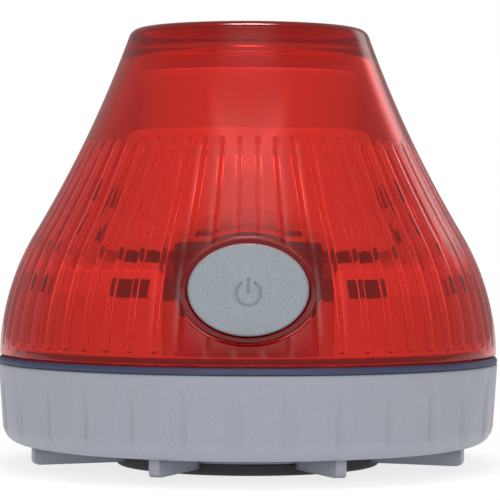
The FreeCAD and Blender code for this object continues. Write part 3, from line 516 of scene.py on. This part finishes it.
def thread_lug(first):
    """Short piece of thread inside the base, climbing with the lead."""
    rings = []
    steps = 24
    crest = BASE_BORE_R - RIDGE_H
    root = BASE_BORE_R + LUG_INTO_WALL
    for i in range(steps + 1):
        a = first + LUG_SWEEP * i / steps
        z = LUG_Z + LEAD * LUG_SWEEP * i / steps / (2 * math.pi)
        rings.append([polar(root, a, z - RIDGE_ROOT / 2), polar(crest, a, z - RIDGE_CREST / 2),
                      polar(crest, a, z + RIDGE_CREST / 2), polar(root, a, z + RIDGE_ROOT / 2)])
    return stacked_rings("lug", rings, middle_of(rings[0]), middle_of(rings[-1]))


def round_hole(radius, z, at=(0, 0), count=48):
    """Upright round cutter between two heights."""
    rings = [[(at[0] + radius * math.cos(2 * math.pi * j / count),
               at[1] + radius * math.sin(2 * math.pi * j / count), height) for j in range(count)]
             for height in z]
    return stacked_rings("hole", rings, (at[0], at[1], z[0]), (at[0], at[1], z[1]))


def base_cover():
    """Twist-off base: fluted cup with fins and a magnet boss below, and thread lugs inside."""
    body = base_skin()
    well = [(WELL_R, WELL_TOP), (WELL_R + WELL_SLOPE, BASE_FLOOR), (BASE_BORE_R, BASE_FLOOR),
            (BASE_BORE_R, BASE_TOP + 1)]
    combine(body, lathe("hollow", well, 360), "DIFFERENCE")
    combine(body, round_hole(CUP_POCKET[0], (BOSS_BOTTOM - 1, CUP_POCKET[1]), count=180), "DIFFERENCE")
    for i in range(FINS):
        combine(body, fin(2 * math.pi * (i + 0.5) / FINS), "UNION")
    for i in range(STARTS):
        combine(body, thread_lug(2 * math.pi * i / STARTS + math.pi / 2), "UNION")
    hole_r, head_r, seat = MAGNET_HOLE
    for i in range(3):
        at = polar(MAGNET_SCREW_PCR, 2 * math.pi * i / 3, 0)[:2]
        combine(body, round_hole(hole_r, (CUP_POCKET[1] - 1, WELL_TOP + 1), at), "DIFFERENCE")
        combine(body, round_hole(head_r, (seat, WELL_TOP + 1), at), "DIFFERENCE")
    combine(body, round_hole(PIVOT_HOLE_R, (CUP_POCKET[1] - 1, WELL_TOP + 1)), "DIFFERENCE")
    stand_for(body, "base_shell", "base", "base_cover", "base_grey")


# ---- button cap --------------------------------------------------------------------------------
def cap_front_y(x, z):
    """Front face of the cap: a wide crown and a soft swelling around the symbol."""
    crown_r = (CAP_HALF[0] ** 2 + CAP_CROWN ** 2) / (2 * CAP_CROWN)
    crown = CAP_EDGE_Y - CAP_CROWN + crown_r - math.sqrt(crown_r ** 2 - x ** 2 - (z - BUTTON_Z) ** 2)
    away = math.hypot(x, z - SYMBOL_Z) / BUMP_R
    if away >= 1:
        return crown
    return crown - BUMP_HEIGHT * (0.5 + 0.5 * math.cos(math.pi * away)) ** BUMP_SOFTNESS


def cap_blank():
    """Cap without its symbol, from the back edge round to the middle of the front."""
    count = 256
    angles = [2 * math.pi * j / count for j in range(count)]

    def oval_ring(share, y):
        ring = []
        for t in angles:
            x = CAP_HALF[0] * share * math.cos(t)
            z = BUTTON_Z + CAP_HALF[1] * share * math.sin(t)
            ring.append((x, cap_front_y(x, z) if y is None else y, z))
        return ring

    rings = [oval_ring(1, PAD_Y + OVERLAP)]
    inset = CAP_EDGE_ROUND / CAP_HALF[1]
    for a in range(0, 76, 15):
        share = 1 - inset * (1 - math.cos(math.radians(a)))
        drop = CAP_EDGE_ROUND * (1 - math.sin(math.radians(a)))
        rings.append([(x, y + drop, z) for x, y, z in oval_ring(share, None)])
    rings += [oval_ring(-share, None) for share in spread(inset - 1, -0.02, 0.022)]
    front = (0, cap_front_y(0, BUTTON_Z), BUTTON_Z)
    return stacked_rings("cap_blank", rings, (0, PAD_Y + OVERLAP, BUTTON_Z), front)


def groove(points):
    """Round-bottomed cutter for a symbol line, along points (x, z) of the cap's face."""
    rings = []
    count = 16
    for i, (x, z) in enumerate(points):
        before = points[max(i - 1, 0)]
        after = points[min(i + 1, len(points) - 1)]
        along = Vector((after[0] - before[0], after[1] - before[1])).normalized()
        y = cap_front_y(x, z) - GROOVE_RISE
        end = min(i, len(points) - 1 - i)
        r = SYMBOL_LINE * (GROOVE_END if end == 0 else 1.0)
        rings.append([(x + r * math.cos(2 * math.pi * j / count) * along.y,
                       y + r * GROOVE_DEEPER * math.sin(2 * math.pi * j / count),
                       z - r * math.cos(2 * math.pi * j / count) * along.x) for j in range(count)])
    return stacked_rings("groove", rings, middle_of(rings[0]), middle_of(rings[-1]))


def button_cap():
    """Oval cap with the engraved symbol in front, and the flange and stem behind."""
    cap = cap_blank()
    turns = spread(math.pi / 2 + SYMBOL_GAP, 5 * math.pi / 2 - SYMBOL_GAP, 0.06)
    arc = [(SYMBOL_R * math.cos(a), SYMBOL_Z + SYMBOL_R * math.sin(a)) for a in turns]
    stroke = [(0, z) for z in spread(SYMBOL_Z, SYMBOL_Z + SYMBOL_TOP, 0.15)]
    combine(cap, groove(arc), "DIFFERENCE")
    combine(cap, groove(stroke), "DIFFERENCE")
    lip_half = (CAP_HALF[0] + CAP_LIP[0], CAP_HALF[1] + CAP_LIP[1])
    combine(cap, oval_bar("lip", lip_half, [(0, CAP_FLANGE[0]), (0, CAP_FLANGE[1])]), "UNION")
    for radius, end in (STEM, STEM_TIP):
        stem = oval_bar("stem", (radius, radius), [(0, PAD_Y + 2 * OVERLAP), (0, end)], count=64)
        combine(cap, stem, "UNION")
    stand_for(cap, "button_cap_shell", "button", "button_cap", "button_grey")


# ---- materials ---------------------------------------------------------------------------------
def srgb(r, g, b):
    """Linear colour from 0-255 values."""
    def one(c):
        c = c / 255
        return c / 12.92 if c <= 0.04045 else ((c + 0.055) / 1.055) ** 2.4
    return (one(r), one(g), one(b), 1.0)


def shade(colour, factor):
    """The colour made darker or lighter."""
    return tuple(c * factor for c in colour[:3]) + (1.0,)


def grey(value):
    return (value, value, value, 1.0)


# sockets of the Mix node when it mixes colours
MIX_A = 6
MIX_B = 7
MIX_RESULT = 2
# how dark the painted shade in grooves and corners gets
PAINTED_SHADE_DARKEST = 0.35
GLOSS_GRAIN = 300.0
METAL_GRAIN = 1800.0


class Shader:
    """A node material with short calls for adding and linking nodes."""

    def __init__(self, name):
        self.material = bpy.data.materials.new(name)
        self.material.use_nodes = True
        self.tree = self.material.node_tree
        self.tree.nodes.clear()
        self.out = self.add("ShaderNodeOutputMaterial")
        self.bsdf = self.add("ShaderNodeBsdfPrincipled")
        self.link(self.bsdf.outputs[0], self.out.inputs["Surface"])

    def add(self, kind, **settings):
        node = self.tree.nodes.new(kind)
        for key, value in settings.items():
            setattr(node, key, value)
        return node

    def link(self, a, b):
        self.tree.links.new(a, b)

    def set(self, **values):
        for key, value in values.items():
            self.bsdf.inputs[key.replace("_", " ")].default_value = value

    def noise(self, scale, detail=4.0, roughness=0.6):
        where = self.add("ShaderNodeTexCoord")
        node = self.add("ShaderNodeTexNoise")
        node.inputs["Scale"].default_value = scale
        node.inputs["Detail"].default_value = detail
        node.inputs["Roughness"].default_value = roughness
        self.link(where.outputs["Object"], node.inputs["Vector"])
        return node.outputs["Fac"]

    def ramp(self, value, stops):
        node = self.add("ShaderNodeValToRGB")
        elements = node.color_ramp.elements
        while len(elements) < len(stops):
            elements.new(0.5)
        for element, (position, colour) in zip(elements, stops):
            element.position = position
            element.color = colour
        self.link(value, node.inputs["Fac"])
        return node.outputs["Color"]

    def bump(self, value, depth, strength=1.0):
        node = self.add("ShaderNodeBump")
        node.inputs["Strength"].default_value = strength
        node.inputs["Distance"].default_value = depth
        self.link(value, node.inputs["Height"])
        self.link(node.outputs["Normal"], self.bsdf.inputs["Normal"])


def moulded(name, colour, roughness, grain=2500.0, depth=0.00002, contrast=0.05, painted_shade_reach=0.0):
    """Moulded plastic or rubber: fine grain, slight changes of colour and gloss, and painted shade that
    darkens the colour in grooves and corners.
    """
    s = Shader(name)
    fine = s.noise(grain, 3.0)
    tint = s.ramp(fine, [(0.3, shade(colour, 1 - contrast)), (0.7, shade(colour, 1 + contrast))])
    # painted shade: ambient occlusion darkens the colour in grooves and corners
    if painted_shade_reach:
        occlusion_for_shade = s.add("ShaderNodeAmbientOcclusion")
        occlusion_for_shade.inputs["Distance"].default_value = painted_shade_reach * MM
        darker = s.ramp(occlusion_for_shade.outputs["AO"], [(0.25, grey(PAINTED_SHADE_DARKEST)), (0.9, grey(1.0))])
        product = s.add("ShaderNodeMix", data_type="RGBA", blend_type="MULTIPLY")
        product.inputs[0].default_value = 1.0
        s.link(tint, product.inputs[MIX_A])
        s.link(darker, product.inputs[MIX_B])
        tint = product.outputs[MIX_RESULT]
    s.link(tint, s.bsdf.inputs["Base Color"])
    s.link(s.ramp(s.noise(GLOSS_GRAIN), [(0.3, grey(roughness * 0.9)), (0.7, grey(roughness * 1.1))]),
           s.bsdf.inputs["Roughness"])
    s.bump(fine, depth)
    return s.material


def milky(name, colour, roughness, through_share):
    """White moulding thin enough for a share of the light to pass through it."""
    material = moulded(name, colour, roughness)
    tree = material.node_tree
    out = next(n for n in tree.nodes if n.type == "OUTPUT_MATERIAL")
    solid = out.inputs["Surface"].links[0].from_socket
    through = tree.nodes.new("ShaderNodeBsdfTranslucent")
    through.inputs["Color"].default_value = colour
    mix = tree.nodes.new("ShaderNodeMixShader")
    mix.inputs[0].default_value = through_share
    tree.links.new(solid, mix.inputs[1])
    tree.links.new(through.outputs[0], mix.inputs[2])
    tree.links.new(mix.outputs[0], out.inputs["Surface"])
    return material


def metal(name, colour, roughness):
    """Plain metal with fine uneven gloss."""
    s = Shader(name)
    s.set(Metallic=1.0)
    fine = s.noise(METAL_GRAIN, 2.0)
    s.link(s.ramp(fine, [(0.3, shade(colour, 0.85)), (0.7, colour)]), s.bsdf.inputs["Base Color"])
    s.link(s.ramp(fine, [(0.3, grey(roughness * 0.7)), (0.7, grey(roughness * 1.3))]),
           s.bsdf.inputs["Roughness"])
    return s.material


LENS_TINT = (1.0, 0.21, 0.155, 1)
LENS_DEPTH_COLOUR = (0.9, 0.17, 0.1, 1)
LENS_DENSITY = 300.0
LENS_LAMP_TINT = (1.0, 0.9, 0.9, 1)
LENS_HAZE = 0.08
LENS_HAZE_COLOUR = srgb(248, 58, 46)


def red_lens():
    """Clear red plastic: tinted at its surface and by depth; lamp light passes through to the inside."""
    s = Shader("red_lens")
    s.set(Base_Color=LENS_TINT, Roughness=0.02, IOR=1.52, Transmission_Weight=1.0)
    volume = s.add("ShaderNodeVolumeAbsorption")
    volume.inputs["Color"].default_value = LENS_DEPTH_COLOUR
    volume.inputs["Density"].default_value = LENS_DENSITY
    s.link(volume.outputs[0], s.out.inputs["Volume"])
    path = s.add("ShaderNodeLightPath")
    clear = s.add("ShaderNodeBsdfTransparent")
    clear.inputs["Color"].default_value = LENS_LAMP_TINT
    haze = s.add("ShaderNodeBsdfDiffuse")
    haze.inputs["Color"].default_value = LENS_HAZE_COLOUR
    hazy = s.add("ShaderNodeMixShader")
    hazy.inputs[0].default_value = LENS_HAZE
    s.link(s.bsdf.outputs[0], hazy.inputs[1])
    s.link(haze.outputs[0], hazy.inputs[2])
    mix = s.add("ShaderNodeMixShader")
    s.link(path.outputs["Is Shadow Ray"], mix.inputs[0])
    s.link(hazy.outputs[0], mix.inputs[1])
    s.link(clear.outputs[0], mix.inputs[2])
    s.link(mix.outputs[0], s.out.inputs["Surface"])
    return s.material


MATERIALS = {
    "red_lens": red_lens(),
    # base and button: painted shade from ambient occlusion in their flutes and symbol grooves
    "base_grey": moulded("base_grey", srgb(161, 164, 175), 0.42, depth=0.00003, painted_shade_reach=2.0),
    "button_grey": moulded("button_grey", srgb(152, 159, 167), 0.45, grain=3200.0, contrast=0.13,
                           painted_shade_reach=0.35),
    "navy_rubber": moulded("navy_rubber", srgb(58, 66, 96), 0.5),
    "seal_rubber": moulded("seal_rubber", srgb(172, 150, 148), 0.6),
    "black_rubber": moulded("black_rubber", srgb(66, 64, 66), 0.6),
    "white_plastic": milky("white_plastic", srgb(238, 238, 234), 0.35, 0.25),
    "milky_plastic": milky("milky_plastic", srgb(240, 238, 232), 0.4, 0.4),
    "chassis_plastic": milky("chassis_plastic", srgb(238, 238, 234), 0.4, 0.1),
    "frame_plastic": moulded("frame_plastic", srgb(74, 68, 68), 0.4),
    "carrier_plastic": moulded("carrier_plastic", srgb(45, 45, 48), 0.4),
    "steel": metal("steel", srgb(200, 200, 202), 0.3),
    "brass": metal("brass", srgb(214, 178, 110), 0.25),
    "nickel": metal("nickel", srgb(205, 200, 192), 0.2),
    "ferrite": moulded("ferrite", srgb(50, 50, 52), 0.55),
    "cell_jacket": moulded("cell_jacket", srgb(48, 54, 66), 0.3),
    "board_green": moulded("board_green", srgb(24, 92, 52), 0.35),
    "board_white": moulded("board_white", srgb(224, 224, 220), 0.35),
    "led_package": moulded("led_package", srgb(236, 228, 200), 0.25),
    "chip_black": moulded("chip_black", srgb(20, 20, 21), 0.4),
    "wire_jacket": moulded("wire_jacket", srgb(150, 20, 20), 0.4),
}


def finish_cad_nodes():
    """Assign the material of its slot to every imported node's object, whose mesh stays as it was packed."""
    for part in frame["record"]["subparts"]:
        for slot in nodes[part["node"]].material_slots:
            slot.material = MATERIALS[part["material_slot"]]


# ---- stage, light, camera ----------------------------------------------------------------------
FLOOR_SIZE = 3000
FLOOR_LIFT = 0.35
FLOOR_WHITE_FROM = 0.05
FLOOR_WHITE_TO = 0.3
FLOOR_WHITE_NEAR = 0.65


def floor():
    """Pale floor that fades to plain white far from the lamp, as seen by the camera."""
    corners = [(x * FLOOR_SIZE, y * FLOOR_SIZE, 0) for x, y in ((-1, -1), (1, -1), (1, 1), (-1, 1))]
    ob = new_object("floor", corners, [(0, 1, 2, 3)])
    s = Shader("floor_white")
    s.set(Base_Color=srgb(235, 235, 236), Roughness=0.9)
    s.set(Emission_Color=grey(1.0), Emission_Strength=FLOOR_LIFT)
    where = s.add("ShaderNodeTexCoord")
    length = s.add("ShaderNodeVectorMath", operation="LENGTH")
    s.link(where.outputs["Object"], length.inputs[0])
    fade = s.add("ShaderNodeMapRange", interpolation_type="SMOOTHSTEP")
    fade.inputs["From Min"].default_value = FLOOR_WHITE_FROM
    fade.inputs["From Max"].default_value = FLOOR_WHITE_TO
    fade.inputs["To Min"].default_value = FLOOR_WHITE_NEAR
    s.link(length.outputs["Value"], fade.inputs["Value"])
    path = s.add("ShaderNodeLightPath")
    seen = s.add("ShaderNodeMath", operation="MULTIPLY")
    s.link(path.outputs["Is Camera Ray"], seen.inputs[0])
    s.link(fade.outputs["Result"], seen.inputs[1])
    white = s.add("ShaderNodeEmission")
    mix = s.add("ShaderNodeMixShader")
    s.link(seen.outputs[0], mix.inputs[0])
    s.link(s.bsdf.outputs[0], mix.inputs[1])
    s.link(white.outputs[0], mix.inputs[2])
    s.link(mix.outputs[0], s.out.inputs["Surface"])
    ob.data.materials.append(s.material)


SOFTBOX_CORE = 0.1


def softbox(name, at, target, width, height, power):
    """Area light whose brightness fades towards its edges, so that its reflections end softly."""
    lamp = bpy.data.lights.new(name, "AREA")
    lamp.shape = "RECTANGLE"
    lamp.size = width
    lamp.size_y = height
    lamp.energy = power
    lamp.use_nodes = True
    tree = lamp.node_tree
    where = tree.nodes.new("ShaderNodeNewGeometry")
    centred = tree.nodes.new("ShaderNodeVectorMath")
    centred.operation = "SUBTRACT"
    centred.inputs[1].default_value = (0.5, 0.5, 0)
    tree.links.new(where.outputs["Parametric"], centred.inputs[0])
    split = tree.nodes.new("ShaderNodeSeparateXYZ")
    tree.links.new(centred.outputs[0], split.inputs[0])
    fades = []
    for axis in (0, 1):
        size = tree.nodes.new("ShaderNodeMath")
        size.operation = "ABSOLUTE"
        tree.links.new(split.outputs[axis], size.inputs[0])
        fade = tree.nodes.new("ShaderNodeMapRange")
        fade.interpolation_type = "SMOOTHSTEP"
        fade.inputs["From Min"].default_value = 0.5
        fade.inputs["From Max"].default_value = SOFTBOX_CORE
        tree.links.new(size.outputs[0], fade.inputs["Value"])
        fades.append(fade.outputs["Result"])
    product = tree.nodes.new("ShaderNodeMath")
    product.operation = "MULTIPLY"
    tree.links.new(fades[0], product.inputs[0])
    tree.links.new(fades[1], product.inputs[1])
    tree.links.new(product.outputs[0], tree.nodes["Emission"].inputs["Strength"])
    ob = bpy.data.objects.new(name, lamp)
    ob.location = at
    ob.rotation_euler = (Vector(target) - Vector(at)).to_track_quat("-Z", "Y").to_euler()
    bpy.context.scene.collection.objects.link(ob)
    return ob


WORLD_GREY = 0.30
LAMP_MIDDLE = (0, 0, 0.04)


def studio():
    """Soft studio: a world that looks white but lights grey, and faded area lights around the lamp."""
    world = bpy.data.worlds.new("studio")
    bpy.context.scene.world = world
    world.use_nodes = True
    tree = world.node_tree
    background = tree.nodes["Background"]
    path = tree.nodes.new("ShaderNodeLightPath")
    mix = tree.nodes.new("ShaderNodeMix")
    mix.data_type = "RGBA"
    mix.inputs[MIX_A].default_value = grey(WORLD_GREY)
    mix.inputs[MIX_B].default_value = grey(1.0)
    tree.links.new(path.outputs["Is Camera Ray"], mix.inputs[0])
    tree.links.new(mix.outputs[MIX_RESULT], background.inputs["Color"])
    softbox("top", (0, -0.02, 0.66), LAMP_MIDDLE, 0.36, 0.26, 4.6)
    softbox("veil", (0, -0.5, 0.78), LAMP_MIDDLE, 0.9, 0.24, 0.7)
    softbox("back_right", (0.418, 0.498, 0.3), LAMP_MIDDLE, 0.36, 0.3, 0.4)
    softbox("front", (0.0, -1.1, 0.6), LAMP_MIDDLE, 1.8, 1.2, 12.6)
    glitter = softbox("glitter", (0, -0.6, 0.86), LAMP_MIDDLE, 1.4, 0.06, 1.0)
    glitter.visible_glossy = False  # it sparkles in the ribs, but the outer skin doesn't mirror it


CAMERA_AT = (0, -0.4165, 0.04035)
CAMERA_TILT = 0.0092
CAMERA_ROLL = -0.0034
CAMERA_LENS = 175.1
CAMERA_SHIFT = 0.003


def camera():
    """Long-lens camera in front of the lamp, about level with its middle."""
    data = bpy.data.cameras.new("camera")
    data.sensor_width = 36
    data.lens = CAMERA_LENS
    data.clip_start = 0.01
    data.shift_x = CAMERA_SHIFT
    ob = bpy.data.objects.new("camera", data)
    ob.location = CAMERA_AT
    ob.rotation_euler = (math.pi / 2 - CAMERA_TILT, CAMERA_ROLL, 0)
    bpy.context.scene.collection.objects.link(ob)
    bpy.context.scene.camera = ob


finish_cad_nodes()
dome()
base_cover()
button_cap()
floor()
studio()
camera()
bpy.context.scene.view_settings.view_transform = "Standard"
